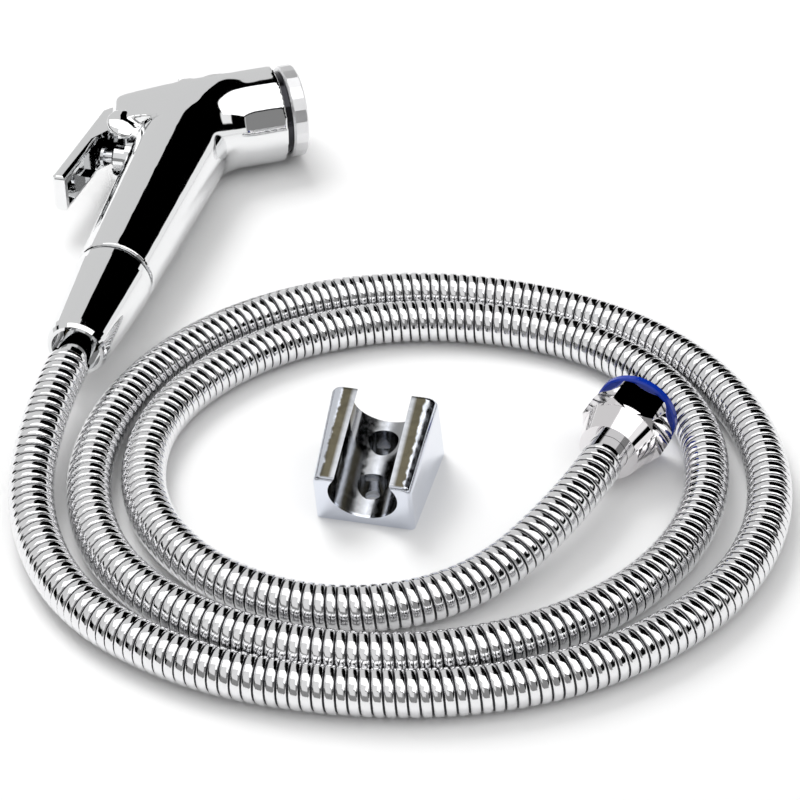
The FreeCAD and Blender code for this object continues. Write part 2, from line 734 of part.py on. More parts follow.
def wall_bracket():
    """Leaning clip with an open bore and two counterbored screw holes."""
    profile = bracket_profile()
    front_top = profile[3]
    side = Part.makePolygon([V(-30, y, z) for y, z in profile + profile[:1]])
    block = Part.Face(side).extrude(V(60, 0, 0))
    front_half = BRACKET_FRONT_WIDTH / 2
    rear_half = BRACKET_REAR_WIDTH / 2
    plan = [(-front_half, front_top[0]), (front_half, front_top[0]),
            (rear_half, BRACKET_BASE_LENGTH), (-rear_half, BRACKET_BASE_LENGTH)]
    block = block.common(prism(plan, -1, 60))
    block = block.makeFillet(BRACKET_ROUND, [edge for edge in block.Edges if is_top_side(edge)])
    block = block.makeFillet(BRACKET_FOOT_ROUND, [edge for edge in block.Edges if is_corner_post(edge)])
    tilt = math.radians(BRACKET_TILT)
    along = V(0, math.cos(tilt), math.sin(tilt))
    upward = V(0, -math.sin(tilt), math.cos(tilt))
    base = V(0, *front_top) - upward * CLIP_DEPTH - along * 10
    block = block.cut(Part.makeCylinder(CLIP_R, BRACKET_TOP_LENGTH + 40, base, along))
    slot = Part.makeBox(CLIP_SLOT, BRACKET_TOP_LENGTH + 40, 30)
    slot.translate(V(-CLIP_SLOT / 2, 0, 0))
    slot.rotate(ORIGIN, X_AXIS, BRACKET_TILT)
    block = block.cut(moved(slot, base))
    for place in SCREW_AT:
        block = block.cut(Part.makeCylinder(SCREW_R, 20, V(0, place, -5)))
        block = block.cut(Part.makeCylinder(SCREW_HEAD_R, 20, V(0, place, SCREW_FLOOR_Z)))
    centre_x = BRACKET_RIGHT_X - rear_half
    return moved(block, V(centre_x, BRACKET_FRONT_Y - front_top[0], 0))


def is_top_side(edge):
    """True for the two long edges along the sides of the bracket's top."""
    ends = [vertex.Point for vertex in edge.Vertexes]
    return len(ends) == 2 and min(end.z for end in ends) > 15 and abs(ends[0].y - ends[1].y) > 10


def is_corner_post(edge):
    """True for the four edges that rise from the corners of the wall face."""
    ends = [vertex.Point for vertex in edge.Vertexes]
    low = min(end.z for end in ends)
    high = max(end.z for end in ends)
    return len(ends) == 2 and low < 0.01 and high > 10


# --- Build and write ---

SPRAYER_PIECES = [
    spray_body, lever, lever_pin, valve_bonnet, valve_stem, valve_disc, valve_seat,
    stem_seal, valve_spring, nozzle_body, nozzle_seal, spray_plate, nozzle_cap,
    cone_nut, inlet_washer, head_nipple, head_ferrule,
]
TAP_END_PIECES = [tap_ferrule, tap_nipple, tap_washer, hex_nut, blue_ring]


def all_pieces():
    """Every piece by name, in the world frame."""
    pieces = {}
    for make in SPRAYER_PIECES:
        pieces[make.__name__] = moved(make(), HEAD_AT)
    for make in TAP_END_PIECES:
        pieces[make.__name__] = at_tap_end(make())
    wire, radii = route_wire(ROUTE)
    pieces["hose_cover"] = swept_tube(wire, HOSE_R, COVER_INNER_R)
    pieces["hose_liner"] = swept_tube(wire, LINER_R, LINER_INNER_R)
    pieces["wall_bracket"] = wall_bracket()
    print("hose length %.1f, smallest arc %.1f" % (wire.Length, min(radii)))
    print("radii", [round(radius) for radius in radii])
    section = math.pi * (HOSE_R ** 2 - COVER_INNER_R ** 2)
    print("cover volume against section x length", pieces["hose_cover"].Volume / (section * wire.Length))
    return pieces


def main():
    os.makedirs("parts", exist_ok=True)
    for name, shape in all_pieces().items():
        solid = shape.Solids[0] if len(shape.Solids) == 1 else shape
        bounds = solid.BoundBox
        print("%-14s solids %d valid %s volume %9.1f  x %.2f %.2f  y %.2f %.2f  z %.2f %.2f" % (
            name, len(shape.Solids), solid.isValid(), solid.Volume, bounds.XMin, bounds.XMax,
            bounds.YMin, bounds.YMax, bounds.ZMin, bounds.ZMax))
        solid.exportStep("parts/%s.step" % name)


main()
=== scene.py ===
import json
import math

import bpy
import numpy as np
from mathutils import Euler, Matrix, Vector


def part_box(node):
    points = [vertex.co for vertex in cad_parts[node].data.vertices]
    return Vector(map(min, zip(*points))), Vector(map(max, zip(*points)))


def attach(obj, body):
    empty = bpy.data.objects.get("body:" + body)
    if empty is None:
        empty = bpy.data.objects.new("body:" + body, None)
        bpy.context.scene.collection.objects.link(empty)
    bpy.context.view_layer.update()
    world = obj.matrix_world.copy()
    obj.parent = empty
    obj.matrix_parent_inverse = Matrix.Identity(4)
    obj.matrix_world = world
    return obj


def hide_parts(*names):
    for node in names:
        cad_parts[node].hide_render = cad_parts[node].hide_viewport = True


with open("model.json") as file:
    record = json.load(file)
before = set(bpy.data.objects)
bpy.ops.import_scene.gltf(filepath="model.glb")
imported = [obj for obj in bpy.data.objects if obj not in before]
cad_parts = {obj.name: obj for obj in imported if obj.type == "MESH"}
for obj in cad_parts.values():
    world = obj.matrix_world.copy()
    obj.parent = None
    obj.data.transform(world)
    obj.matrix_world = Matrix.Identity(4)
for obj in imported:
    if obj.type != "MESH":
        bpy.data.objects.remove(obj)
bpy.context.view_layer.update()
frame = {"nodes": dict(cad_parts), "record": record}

MM = 0.001
SAME_PLACE = 1e-7            # metres below which two points are one

# --- Driving values, metres and degrees ---

# Camera
CAMERA_AT = (0.1894, -0.6514, 0.4851)
CAMERA_TURN = (52.0, 0.0, 12.0)
CAMERA_LENS = 108.3

# Hose: strip-wound cover
ROUTE_STEPS = 24             # points of the smooth line for each point of the route
HOSE_R = 7.0 * MM
HOSE_PITCH = 3.25 * MM
GROOVE_R = 6.25 * MM
GROOVE_LIP = 0.2 * MM
STRIP_STEPS = 24             # points round one turn of the strip
GROOVE_FACES = 3             # rows of faces that lie in the groove, painted dark as shade
STRIP_DOME = [(0.03, 0.55), (0.10, 0.86), (0.24, 0.975), (0.43, 1.0), (0.62, 0.975), (0.80, 0.85)]

# Studio: how bright each thing is that the chrome reflects
WALL_LEFT = 0.70
WALL_RIGHT = 0.95
WALL_CAMERA = 0.26
WALL_FRONT = 0.80
PANEL = 0.0
SOFTBOX = 1.7
FLOOR_SIZE = 6.0
LAMP_AT = (-0.7, 0.7, 1.5)
LAMP_SIZE = 0.9
LAMP_POWER = 16.0

# Studio: where each thing is. Azimuths run from +Y towards +X, and elevations from the floor.
RIGHT_WALL = (20.0, 125.0)               # azimuths
FRONT_FROM = 125.0                       # azimuth to either side at which the front wall begins
CAMERA_WALL_TOP = 26.0                   # elevation
RAISED_WALL = (120.0, 160.0)             # azimuths between which the camera's wall is higher
RAISED_WALL_TOP = 45.0                   # elevation
SIDE_PANEL = (-136.0, -84.0, -3.0, 22.0)     # azimuths, then elevations
BACK_PANEL = (-11.0, 124.0, 9.0, 80.0)
PANEL_LEANS_FROM = 45.0                  # elevation above which the back panel's left edge leans
PANEL_LEAN = 0.3                         # degrees of azimuth for each degree of elevation
WINDOW = (66.0, 92.0, 22.0, 42.0)

# Studio overhead: limits of x, then of y, at a height of 1
DARK_EDGE = (0.10, 1.3, -0.86, -0.70)
SOFTBOX_WIDE = (-0.8, 1.2, -0.25, 0.40)
SOFTBOX_DEEP = (0.12, 1.2, -0.76, 0.40)
OVERHEAD_FROM = 0.1                      # least z of a direction that counts as overhead

# Sprayer head, millimetres, in the sprayer's own frame
HEAD_AT = (-43.0, 78.0, 18.0)
BARREL_R = 18.0
BARREL_ANGLE = 30.0
BARREL_END = 31.0
HANDLE_TOP_R = 17.0
HANDLE_TOP_Y = 6.0
HANDLE_WIDEST_Y = -22.0
HANDLE_END_R = 13.5
HANDLE_END_Y = -99.0
HOOD_LEAN = 12.5
HOOD_UNDERSIDE_Y = -19.0
REAR_LOW_X = -25.2
REAR_X = -31.0
RIDGE_Y = 2.9
LUG_AT = (-20.2, -20.6)
LUG_R = 6.0

# Sprayer head: how the new mesh is smoothed, millimetres
VOXEL = 0.62                 # of the new mesh
REMESH_SMOOTHING = 3
CREASE = 7.0                 # how far the barrel and handle blend into each other
CREASE_LEAST = 0.3           # the same at the back, where they hardly blend
CREASE_FROM_X = -4.0         # where the blend begins to widen
CREASE_RUN = 12.0            # and over what length
RIDGE_ROUND = 3.0            # rounding between the barrel and the hood's cheeks
REAR_ROUND = 1.4             # rounding of the hood's rear edges
SLOPE_STEP = 0.05
DEEPEST = -2.2               # distances from the smooth form between which a point is moved onto it
HIGHEST = 1.9
FACING = 0.84                # how nearly a point must face as the smooth form does
FACING_AT_TOP = 0.5
TOP_FROM_Y = -5.0
PUSH_ROUNDS = 3
MOST_MOVED = 2.2             # how far a point of the new mesh may be moved
EDGE_KEPT = 1.3              # width beside a sharp edge that keeps the new mesh's own rounding
BACK_X = -14.0               # the handle's back, with the bonnet's seat, lies behind this
LUG_CLEAR = 0.3
LUG_BLEND = 2.5              # width round the lugs over which the smooth form fades in
NORMAL_ROUNDS = 40           # rounds of evening out the head's shading
STEP_KEPT = 1.5              # width beside the hood's underside that isn't evened out
STEP_END_X = -4.0

# Wall bracket
BRACKET_TILT = 15.0
BRACKET_FRONT_HEIGHT = 21.0 * MM
BRACKET_BRIGHT = (0.74, 0.77, 0.84, 1.0)
# dark olive colour of the painted reflection
BRACKET_PAINTED_REFLECTION = (0.10, 0.09, 0.062, 1.0)
PAINTED_REFLECTION_HALF = 12.9 * MM       # half the width of the painted reflection
PAINTED_REFLECTION_RIM = 2.0 * MM         # unevenness of its rim
WINGS_FROM = 10.0 * MM       # sideways distance at which the wings begin
REFLECTION_BAND_RATE = 420.0            # of the painted reflection's bands in the bore

# The hose's route, repeated from the part's source, in metres.
ROUTE = [
    (-0.043, -0.0715, 0.018),
    (-0.043, -0.094, 0.018),
    (-0.038, -0.131, 0.0088),
    (-0.013, -0.167, 0.007),
    (0.027, -0.185, 0.007),
    (0.070, -0.187, 0.007),
    (0.113, -0.178, 0.007),
    (0.150, -0.156, 0.007),
    (0.177, -0.122, 0.007),
    (0.186, -0.080, 0.007),
    (0.174, -0.038, 0.007),
    (0.145, -0.006, 0.007),
    (0.105, 0.009, 0.007),
    (0.062, 0.010, 0.007),
    (0.022, -0.004, 0.007),
    (-0.010, -0.033, 0.007),
    (-0.027, -0.073, 0.007),
    (-0.025, -0.117, 0.007),
    (-0.002, -0.154, 0.007),
    (0.037, -0.171, 0.007),
    (0.080, -0.172, 0.007),
    (0.119, -0.157, 0.007),
    (0.151, -0.127, 0.007),
    (0.166, -0.087, 0.007),
    (0.159, -0.043, 0.007),
    (0.128, -0.012, 0.007),
    (0.086, -0.004, 0.007),
    (0.044, -0.012, 0.007),
    (0.008, -0.037, 0.007),
    (-0.013, -0.077, 0.007),
    (-0.006, -0.120, 0.007),
    (0.024, -0.149, 0.007),
    (0.066, -0.156, 0.007),
    (0.103, -0.138, 0.008),
    (0.125, -0.102, 0.0142),
    (0.131, -0.080, 0.0142),
]


# --- Camera ---

def make_camera():
    """The camera, above and in front of the nozzle's side."""
    data = bpy.data.cameras.new("camera")
    data.lens = CAMERA_LENS
    data.sensor_width = 36.0
    data.clip_start = 0.01
    camera = bpy.data.objects.new("camera", data)
    camera.location = CAMERA_AT
    camera.rotation_euler = Euler([math.radians(turn) for turn in CAMERA_TURN])
    bpy.context.scene.collection.objects.link(camera)
    bpy.context.scene.camera = camera


# --- Hose ---

def route_curve():
    """Smooth line of the hose: a NURBS spline with the route's points as control points."""
    curve = bpy.data.curves.new("hose_route", "CURVE")
    curve.dimensions = "3D"
    curve.resolution_u = ROUTE_STEPS
    spline = curve.splines.new("NURBS")
    spline.points.add(len(ROUTE) - 1)
    for point, place in zip(spline.points, ROUTE):
        point.co = (*place, 1.0)
    spline.order_u = 3
    spline.use_endpoint_u = True
    return curve


def line_of(curve):
    """The points that Blender gives for a curve with no bevel, in order."""
    holder = bpy.data.objects.new("line_holder", curve)
    bpy.context.scene.collection.objects.link(holder)
    bpy.context.view_layer.update()
    graph = bpy.context.evaluated_depsgraph_get()
    mesh = bpy.data.meshes.new_from_object(holder.evaluated_get(graph))
    points = np.array([vertex.co for vertex in mesh.vertices], float)
    bpy.data.objects.remove(holder)
    bpy.data.meshes.remove(mesh)
    return points


class Path:
    """A line that is followed by its length, with a frame that doesn't twist."""

    def __init__(self, points):
        steps = np.linalg.norm(np.diff(points, axis=0), axis=1)
        keep = np.concatenate([[True], steps > SAME_PLACE])
        self.points = points[keep]
        steps = np.linalg.norm(np.diff(self.points, axis=0), axis=1)
        self.along = np.concatenate([[0.0], np.cumsum(steps)])
        self.length = self.along[-1]
        tangents = np.gradient(self.points, self.along, axis=0)
        self.tangents = tangents / np.linalg.norm(tangents, axis=1)[:, None]
        side = np.cross(self.tangents, (0.0, 0.0, 1.0))
        self.sides = side / np.linalg.norm(side, axis=1)[:, None]

    def at(self, along):
        """Centres, sides and ups at these distances along the line."""
        along = np.clip(along, 0.0, self.length)

        def read(values):
            return np.stack([np.interp(along, self.along, values[:, k]) for k in range(3)], axis=-1)

        centres, tangents, sides = read(self.points), read(self.tangents), read(self.sides)
        ups = np.cross(sides, tangents)
        sides /= np.linalg.norm(sides, axis=-1)[..., None]
        ups /= np.linalg.norm(ups, axis=-1)[..., None]
        return centres, sides, ups


def strip_profile():
    """One pitch of the cover: share of the pitch, and radius. A low domed strip, then a narrow groove."""
    points = [(share, GROOVE_R + (HOSE_R - GROOVE_R) * height) for share, height in STRIP_DOME]
    return points + [(0.885, GROOVE_R + GROOVE_LIP), (0.90, GROOVE_R), (0.985, GROOVE_R)]


def wound_cover(path):
    """Mesh of the strip-wound cover: one strip of the profile, wound round the path, and which faces lie
    in the groove, to be painted dark as shade.
    """
    profile = strip_profile()
    turns = int(path.length / HOSE_PITCH)
    pitch = path.length / turns
    rows = (turns + 1) * STRIP_STEPS + 1
    row = np.arange(rows)[:, None]
    share = np.array([point[0] for point in profile])[None, :]
    radius = np.array([point[1] for point in profile])[None, :]
    along = pitch * (row / STRIP_STEPS - 1.0 + share)
    angle = np.broadcast_to(-2 * math.pi * row / STRIP_STEPS, along.shape)
    radius = np.broadcast_to(radius, along.shape)
    centres, sides, ups = path.at(along)
    outward = np.cos(angle)[..., None] * sides + np.sin(angle)[..., None] * ups
    places = centres + radius[..., None] * outward
    count = len(profile)
    index = np.arange(rows * count).reshape(rows, count)
    faces = []
    for column in range(count):
        if column + 1 < count:
            near, far = index[:-1, column], index[:-1, column + 1]
            near_on, far_on = index[1:, column], index[1:, column + 1]
        else:
            last = rows - STRIP_STEPS - 1
            near, far = index[:last, column], index[STRIP_STEPS:-1, 0]
            near_on, far_on = index[1:last + 1, column], index[STRIP_STEPS + 1:, 0]
        faces.append(np.stack([near, near_on, far_on, far], axis=1))
    sizes = [len(part) for part in faces]
    # The groove's faces get a near-black material: painted shade in the groove.
    dark = np.repeat([column >= count - GROOVE_FACES for column in range(count)], sizes)
    return places.reshape(-1, 3), np.concatenate(faces), dark


def mesh_object(name, places, faces, smooth=True):
    """Object from arrays of points and faces."""
    mesh = bpy.data.meshes.new(name)
    mesh.from_pydata([tuple(place) for place in places], [], [tuple(face) for face in faces])
    mesh.validate()
    mesh.polygons.foreach_set("use_smooth", [smooth] * len(mesh.polygons))
    mesh.update()
    thing = bpy.data.objects.new(name, mesh)
    bpy.context.scene.collection.objects.link(thing)
    return thing


def make_hose():
    """The strip-wound hose, on the route's smooth line."""
    path = Path(line_of(route_curve()))
    places, faces, dark = wound_cover(path)
    hose = mesh_object("hose", places, faces)
    hose.data.materials.append(chrome("hose_strip", (0.85, 0.85, 0.86), 0.00003, (0.06, 0.13)))
    # Near-black groove material: painted shade in the groove, not the metal's own colour.
    hose.data.materials.append(chrome("hose_groove_painted_shade", (0.05, 0.05, 0.055), 0.0, (0.25, 0.4)))
    hose.data.polygons.foreach_set("material_index", dark.astype(int))
    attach(hose, "sprayer")
    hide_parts("hose_cover")


# --- Sprayer head ---

def joined(first, second, width):
    """Smooth union of two distances."""
    share = np.clip(0.5 + 0.5 * (second - first) / width, 0.0, 1.0)
    return second * (1 - share) + first * share - width * share * (1 - share)


def common(first, second, width):
    """Smooth intersection of two distances."""
    return -joined(-first, -second, width)


def behind_hood(x, y):
    """Distance behind the hood's flat rear face, which leans out towards the ridge."""
    run = math.hypot(REAR_X - REAR_LOW_X, RIDGE_Y - HOOD_UNDERSIDE_Y)
    side_x = (RIDGE_Y - HOOD_UNDERSIDE_Y) / run
    side_y = (REAR_LOW_X - REAR_X) / run
    return -(x - REAR_LOW_X) * side_x - (y - HOOD_UNDERSIDE_Y) * side_y


def head_distance(places):
    """Distance from the smooth outer form of handle, barrel and hood, in millimetres."""
    x, y, z = places[:, 0], places[:, 1], np.abs(places[:, 2])
    turn = math.radians(BARREL_ANGLE)
    across = -x * math.sin(turn) + y * math.cos(turn)
    taper = (HANDLE_TOP_R - HANDLE_END_R) / (HANDLE_WIDEST_Y - HANDLE_END_Y)
    reach = HANDLE_TOP_R + taper * np.minimum(y - HANDLE_WIDEST_Y, 0.0)
    handle = np.maximum(np.hypot(x, z) - reach, y - HANDLE_TOP_Y)
    lean = math.radians(HOOD_LEAN)
    cheek = z * math.cos(lean) - x * math.sin(lean) - HANDLE_TOP_R
    barrel = common(np.hypot(across, z) - BARREL_R, cheek, RIDGE_ROUND)
    rear = behind_hood(x, y)
    barrel = np.maximum(common(barrel, rear, REAR_ROUND), HOOD_UNDERSIDE_Y - y)
    hood = np.maximum(common(cheek, rear, REAR_ROUND), x + HANDLE_TOP_R * math.sin(lean))
    hood = np.maximum(hood, np.maximum(HOOD_UNDERSIDE_Y - y, across))
    share = np.clip((x - CREASE_FROM_X) / CREASE_RUN, 0.0, 1.0)
    crease = CREASE_LEAST + CREASE * share * share * (3 - 2 * share)
    return np.minimum(joined(handle, barrel, crease), hood)


def slope(places):
    """Direction in which the head's distance grows."""
    parts = []
    for axis in range(3):
        shift = np.zeros(3)
        shift[axis] = SLOPE_STEP
        parts.append((head_distance(places + shift) - head_distance(places - shift)) / (2 * SLOPE_STEP))
    return np.stack(parts, axis=1)


def remeshed(node, voxel, smoothing):
    """New mesh over a CAD node: even small faces, with its edges rounded over."""
    source = frame["nodes"][node]
    thing = bpy.data.objects.new("remesh_holder", source.data.copy())
    bpy.context.scene.collection.objects.link(thing)
    remesh = thing.modifiers.new("remesh", "REMESH")
    remesh.mode = "VOXEL"
    remesh.voxel_size = voxel * MM
    soften = thing.modifiers.new("soften", "SMOOTH")
    soften.factor = 0.5
    soften.iterations = smoothing
    bpy.context.view_layer.update()
    graph = bpy.context.evaluated_depsgraph_get()
    mesh = bpy.data.meshes.new_from_object(thing.evaluated_get(graph))
    bpy.data.objects.remove(thing)
    mesh.polygons.foreach_set("use_smooth", [True] * len(mesh.polygons))
    return mesh


def vertex_values(mesh, name):
    """Positions or normals of a mesh's vertices, as an array."""
    values = np.empty(len(mesh.vertices) * 3)
    mesh.vertices.foreach_get(name, values)
    return values.reshape(-1, 3)


def evened(mesh, normals, chosen):
    """Normals blended with their neighbours' over the chosen points, so reflections run smoothly."""
    ends = np.empty(len(mesh.edges) * 2, dtype=int)
    mesh.edges.foreach_get("vertices", ends)
    ends = ends.reshape(-1, 2)
    ends = ends[chosen[ends[:, 0]] & chosen[ends[:, 1]]]
    count = len(normals)
    for _ in range(NORMAL_ROUNDS):
        total = normals.copy()
        for axis in range(3):
            total[:, axis] += np.bincount(ends[:, 0], normals[ends[:, 1], axis], count)
            total[:, axis] += np.bincount(ends[:, 1], normals[ends[:, 0], axis], count)
        normals = total / np.maximum(np.linalg.norm(total, axis=1), 1e-9)[:, None]
    return normals


def make_head():
    """Head and handle, with the barrel, hood and handle blended as in a polished casting."""
    mesh = remeshed("spray_body", VOXEL, REMESH_SMOOTHING)
    mesh.name = "head"
    places = vertex_values(mesh, "co") / MM - np.array(HEAD_AT)
    normals = vertex_values(mesh, "normal")
    distance = head_distance(places)
    slopes = slope(places)
    slopes /= np.maximum(np.linalg.norm(slopes, axis=1), 1e-9)[:, None]
    facing = np.sum(slopes * normals, axis=1)
    x, y = places[:, 0], places[:, 1]
    least = np.where(y > TOP_FROM_Y, FACING_AT_TOP, FACING)
    outer = (distance > DEEPEST) & (distance < HIGHEST) & (facing > least)
    turn = math.radians(BARREL_ANGLE)
    outer &= (x > BACK_X) | (y > HOOD_UNDERSIDE_Y + EDGE_KEPT)
    outer &= x * math.cos(turn) + y * math.sin(turn) < BARREL_END - EDGE_KEPT
    outer &= y > HANDLE_END_Y + EDGE_KEPT
    from_lug = np.hypot(x - LUG_AT[0], y - LUG_AT[1]) - LUG_R
    outer &= from_lug > LUG_CLEAR
    started = places.copy()
    for _ in range(PUSH_ROUNDS):
        grown = slope(places[outer])
        size = np.maximum(np.sum(grown ** 2, axis=1), 0.05)
        places[outer] -= grown * (head_distance(places[outer]) / size)[:, None]
    places[outer, 2] = np.clip(places[outer, 2], -BARREL_R, BARREL_R)
    strayed = np.linalg.norm(places - started, axis=1) > MOST_MOVED
    places[strayed] = started[strayed]
    outer &= ~strayed
    share = np.clip(from_lug / LUG_BLEND, 0.0, 1.0)[:, None]
    places = started + share * (places - started)
    final = slope(places[outer])
    final /= np.linalg.norm(final, axis=1)[:, None]
    normals[outer] = share[outer] * final + (1 - share[outer]) * normals[outer]
    at_step = (np.abs(y - HOOD_UNDERSIDE_Y) < STEP_KEPT) & (x < STEP_END_X)
    normals = evened(mesh, normals, outer & ~at_step)
    places = (places + np.array(HEAD_AT)) * MM
    mesh.vertices.foreach_set("co", places.ravel())
    mesh.update()
    mesh.normals_split_custom_set_from_vertices([tuple(normal) for normal in normals])
    head = bpy.data.objects.new("head", mesh)
    bpy.context.scene.collection.objects.link(head)
    head.data.materials.clear()
    head.data.materials.append(chrome("chrome_body"))
    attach(head, "sprayer")
    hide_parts("spray_body")


# --- Materials ---

def material(name, color, metallic=0.0, roughness=0.5):
    """A plain node material, and its shader."""
    made = bpy.data.materials.new(name)
    made.use_nodes = True
    shader = made.node_tree.nodes["Principled BSDF"]
    shader.inputs["Base Color"].default_value = (*color, 1.0)
    shader.inputs["Metallic"].default_value = metallic
    shader.inputs["Roughness"].default_value = roughness
    return made, shader


def add_noise(tree, scale, detail=2.0):
    """Noise in the object's own coordinates."""
    place = tree.nodes.new("ShaderNodeTexCoord")
    noise = tree.nodes.new("ShaderNodeTexNoise")
    noise.inputs["Scale"].default_value = scale
    noise.inputs["Detail"].default_value = detail
    tree.links.new(place.outputs["Object"], noise.inputs["Vector"])
    return noise.outputs["Fac"]


def spread(tree, value, low, high):
    """Map 0..1 noise to low..high."""
    ranged = tree.nodes.new("ShaderNodeMapRange")
    ranged.inputs["From Min"].default_value = 0.3
    ranged.inputs["From Max"].default_value = 0.7
    ranged.inputs["To Min"].default_value = low
    ranged.inputs["To Max"].default_value = high
    tree.links.new(value, ranged.inputs["Value"])
    return ranged.outputs["Result"]


def add_bump(tree, shader, value, height, strength=1.0):
    """Bump of a real height, chained onto the shader's normal."""
    bump = tree.nodes.new("ShaderNodeBump")
    bump.inputs["Distance"].default_value = height
    bump.inputs["Strength"].default_value = strength
    tree.links.new(value, bump.inputs["Height"])
    if shader.inputs["Normal"].is_linked:
        tree.links.new(shader.inputs["Normal"].links[0].from_socket, bump.inputs["Normal"])
    tree.links.new(bump.outputs["Normal"], shader.inputs["Normal"])


def chrome(name, color=(0.83, 0.835, 0.84), wave=0.00006, rough=(0.02, 0.06)):
    """Chrome plate over polished metal: slow waves left by the polishing, and a faint haze."""
    made, shader = material(name, color, 1.0, rough[0])
    tree = made.node_tree
    haze = spread(tree, add_noise(tree, 240.0, 5.0), *rough)
    tree.links.new(haze, shader.inputs["Roughness"])
    if wave:
        add_bump(tree, shader, add_noise(tree, 90.0, 1.0), wave)
    return made


def dress(node, made):
    """Give a CAD node its material and smooth shading."""
    thing = frame["nodes"][node]
    thing.data.materials.clear()
    thing.data.materials.append(made)
    thing.data.polygons.foreach_set("use_smooth", [True] * len(thing.data.polygons))


def bracket_metal():
    """Chrome over a cast clip: bright outside, with a dark olive painted reflection laid by position in
    the bore and on the wings.
    """
    made, shader = material("bracket_chrome", (0.8, 0.81, 0.83), 1.0, 0.12)
    tree = made.node_tree
    sums = Sums(tree)
    place = tree.nodes.new("ShaderNodeTexCoord")
    split = tree.nodes.new("ShaderNodeSeparateXYZ")
    tree.links.new(place.outputs["Object"], split.inputs[0])
    low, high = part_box("wall_bracket")
    middle = 0.5 * (low[0] + high[0])
    sideways = sums.do("ABSOLUTE", sums.do("SUBTRACT", split.outputs[0], middle))
    rim = sums.do("MULTIPLY", sums.do("SUBTRACT", add_noise(tree, 420.0, 3.0), 0.5), PAINTED_REFLECTION_RIM)
    outside = sums.past(sums.do("ADD", sideways, rim), PAINTED_REFLECTION_HALF, 0.6 * MM)
    inside = sums.do("SUBTRACT", 1.0, outside)
    wing = sums.past(sideways, WINGS_FROM, 1.0 * MM)
    above = sums.past(split.outputs[2], 1.2 * MM, 0.5 * MM)
    bands = sums.do("ABSOLUTE", sums.do("SINE", sums.do("MULTIPLY", sideways, REFLECTION_BAND_RATE)))
    # Strength of the painted reflection: in bands across the bore, full on the wings.
    painted_reflection = sums.mix(sums.mix(0.25, 0.60, bands), 1.0, wing)
    tilt = math.radians(BRACKET_TILT)
    top = BRACKET_FRONT_HEIGHT * math.cos(tilt)
    deep_y = sums.do("MULTIPLY", sums.do("SUBTRACT", split.outputs[1], low[1]), math.cos(tilt))
    deep_z = sums.do("MULTIPLY", sums.do("SUBTRACT", split.outputs[2], top), math.sin(tilt))
    behind_face = sums.past(sums.do("ADD", deep_y, deep_z), 0.6 * MM, 0.5 * MM)
    # Mask of the painted reflection, by position in the bracket.
    dark = sums.both(sums.both(sums.both(inside, above), behind_face), painted_reflection)
    # Base colour: bright chrome, with the painted reflection laid over it.
    ramp = tree.nodes.new("ShaderNodeMix")
    ramp.data_type = "RGBA"
    ramp.inputs["A"].default_value = BRACKET_BRIGHT
    ramp.inputs["B"].default_value = BRACKET_PAINTED_REFLECTION
    tree.links.new(dark, ramp.inputs["Factor"])
    tree.links.new(ramp.outputs["Result"], shader.inputs["Base Color"])
    haze = spread(tree, add_noise(tree, 500.0, 4.0), 0.06, 0.20)
    tree.links.new(haze, shader.inputs["Roughness"])
    add_bump(tree, shader, add_noise(tree, 160.0, 2.0), 0.00006)
    return made


def soft_plastic(name, color, rough):
    """Moulded plastic or rubber, with a fine grain."""
    made, shader = material(name, color, 0.0, rough)
    tree = made.node_tree
    haze = spread(tree, add_noise(tree, 900.0, 4.0), rough * 0.8, min(1.0, rough * 1.25))
    tree.links.new(haze, shader.inputs["Roughness"])
    add_bump(tree, shader, add_noise(tree, 1500.0, 2.0), 0.00002)
    return made


def dress_nodes():
    """Materials for the CAD nodes."""
    looks = {
        "chrome": chrome("chrome"),
        "lever_chrome": chrome("lever_chrome"),
        "bonnet_chrome": chrome("bonnet_chrome", (0.84, 0.85, 0.86)),
        "cap_chrome": chrome("cap_chrome", (0.84, 0.84, 0.85), 0.00004, (0.28, 0.38)),
        "neck_chrome": chrome("neck_chrome", (0.04, 0.04, 0.045), 0.00004, (0.12, 0.2)),
        "hose_chrome": chrome("hose_liner_chrome"),
        "nut_chrome": chrome("nut_chrome", (0.84, 0.82, 0.83)),
        "bracket_chrome": bracket_metal(),
        "steel": chrome("steel", (0.70, 0.71, 0.73), 0.00003, (0.08, 0.16)),
        "brass": chrome("brass", (0.75, 0.6, 0.32), 0.00003, (0.1, 0.2)),
        "plate": chrome("plate", (0.78, 0.79, 0.8), 0.00002, (0.25, 0.35)),
        "black_rubber": soft_plastic("black_rubber", (0.03, 0.03, 0.03), 0.7),
        "blue_ring": soft_plastic("blue_ring", (0.002, 0.028, 0.33), 0.22),
    }
    for subpart in frame["record"]["subparts"]:
        dress(subpart["node"], looks[subpart["material_slot"]])


# --- Studio ---

